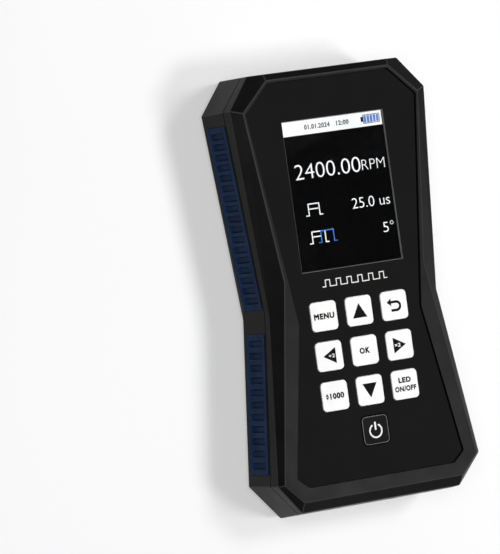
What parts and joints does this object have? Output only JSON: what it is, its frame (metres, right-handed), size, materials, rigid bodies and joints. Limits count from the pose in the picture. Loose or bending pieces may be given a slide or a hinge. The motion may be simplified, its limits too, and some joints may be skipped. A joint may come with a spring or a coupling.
{
  "type": "led stroboscope",
  "caption": "Handheld LED stroboscope with a waisted black case, hexagonal flash windows in its nose, a colour display, a keypad and ribbed rubber side grips.",
  "frame": {"origin": "middle of the base on which the four feet rest, under the centre of the case's bounding box", "axes": "+Z out of the face with the display and keys, +Y towards the flash windows in the nose, +X to the right of someone reading the display"},
  "size_m": [0.0876, 0.17, 0.033],
  "materials": {
    "case_plastic": "fine satin moulded black",
    "overlay_film": "smooth satin black film",
    "clear_window": "clear window",
    "screen_glass": "black display",
    "white_plastic": "white moulded plastic",
    "key_white": "smooth satin white",
    "key_black": "smooth satin black",
    "steel": "plated steel",
    "circuit_board": "green solder mask",
    "chip_plastic": "black moulded",
    "alloy": "plain machined",
    "lamp_phosphor": "emitter",
    "reflector": "bright metallised",
    "lens": "clear moulded optic",
    "cell_case": "sleeved cell",
    "brass": "turned",
    "grip_rubber": "matt navy ribbed rubber",
    "foot_rubber": "matt black rubber"
  },
  "bodies": {
    "case": {"front_housing": "case_plastic", "rear_housing": "case_plastic", "front_overlay": "overlay_film", "display_window": "clear_window", "lcd_glass": "screen_glass", "lcd_backlight": "white_plastic", "dome_switches": "steel", "main_board": "circuit_board", "board_components": "chip_plastic", "board_screws": "steel", "led_board": "alloy", "led_emitters": "lamp_phosphor", "led_reflectors": "reflector", "led_lenses": "lens", "led_heat_sink": "alloy", "heat_sink_screws": "steel", "led_connector": "white_plastic", "battery_cells": "cell_case", "battery_holder": "chip_plastic", "battery_contacts": "steel", "port_board": "circuit_board", "port_screws": "steel", "charging_socket": "steel", "trigger_socket": "chip_plastic", "tripod_insert": "brass", "case_screws": "steel", "grip_upper_left": "grip_rubber", "grip_upper_right": "grip_rubber", "grip_lower_left": "grip_rubber", "grip_lower_right": "grip_rubber", "rubber_feet": "foot_rubber"},
    "menu_key": {"key_menu": "key_white"},
    "up_key": {"key_up": "key_white"},
    "back_key": {"key_back": "key_white"},
    "left_key": {"key_left": "key_white"},
    "ok_key": {"key_ok": "key_white"},
    "right_key": {"key_right": "key_white"},
    "thousand_key": {"key_thousand": "key_white"},
    "down_key": {"key_down": "key_white"},
    "lamp_key": {"key_lamp": "key_white"},
    "power_key": {"key_power": "key_black"}
  },
  "joints": [
    {"name": "menu_press", "type": "slide", "parent": "case", "child": "menu_key", "axis": [0, 0, -1], "range_m": [0, 0.00035], "stiffness_N_per_m": 2000},
    {"name": "up_press", "type": "slide", "parent": "case", "child": "up_key", "axis": [0, 0, -1], "range_m": [0, 0.00035], "stiffness_N_per_m": 2000},
    {"name": "back_press", "type": "slide", "parent": "case", "child": "back_key", "axis": [0, 0, -1], "range_m": [0, 0.00035], "stiffness_N_per_m": 2000},
    {"name": "left_press", "type": "slide", "parent": "case", "child": "left_key", "axis": [0, 0, -1], "range_m": [0, 0.00035], "stiffness_N_per_m": 2000},
    {"name": "ok_press", "type": "slide", "parent": "case", "child": "ok_key", "axis": [0, 0, -1], "range_m": [0, 0.00035], "stiffness_N_per_m": 2000},
    {"name": "right_press", "type": "slide", "parent": "case", "child": "right_key", "axis": [0, 0, -1], "range_m": [0, 0.00035], "stiffness_N_per_m": 2000},
    {"name": "thousand_press", "type": "slide", "parent": "case", "child": "thousand_key", "axis": [0, 0, -1], "range_m": [0, 0.00035], "stiffness_N_per_m": 2000},
    {"name": "down_press", "type": "slide", "parent": "case", "child": "down_key", "axis": [0, 0, -1], "range_m": [0, 0.00035], "stiffness_N_per_m": 2000},
    {"name": "lamp_press", "type": "slide", "parent": "case", "child": "lamp_key", "axis": [0, 0, -1], "range_m": [0, 0.00035], "stiffness_N_per_m": 2000},
    {"name": "power_press", "type": "slide", "parent": "case", "child": "power_key", "axis": [0, 0, -1], "range_m": [0, 0.00035], "stiffness_N_per_m": 2000}
  ]
}
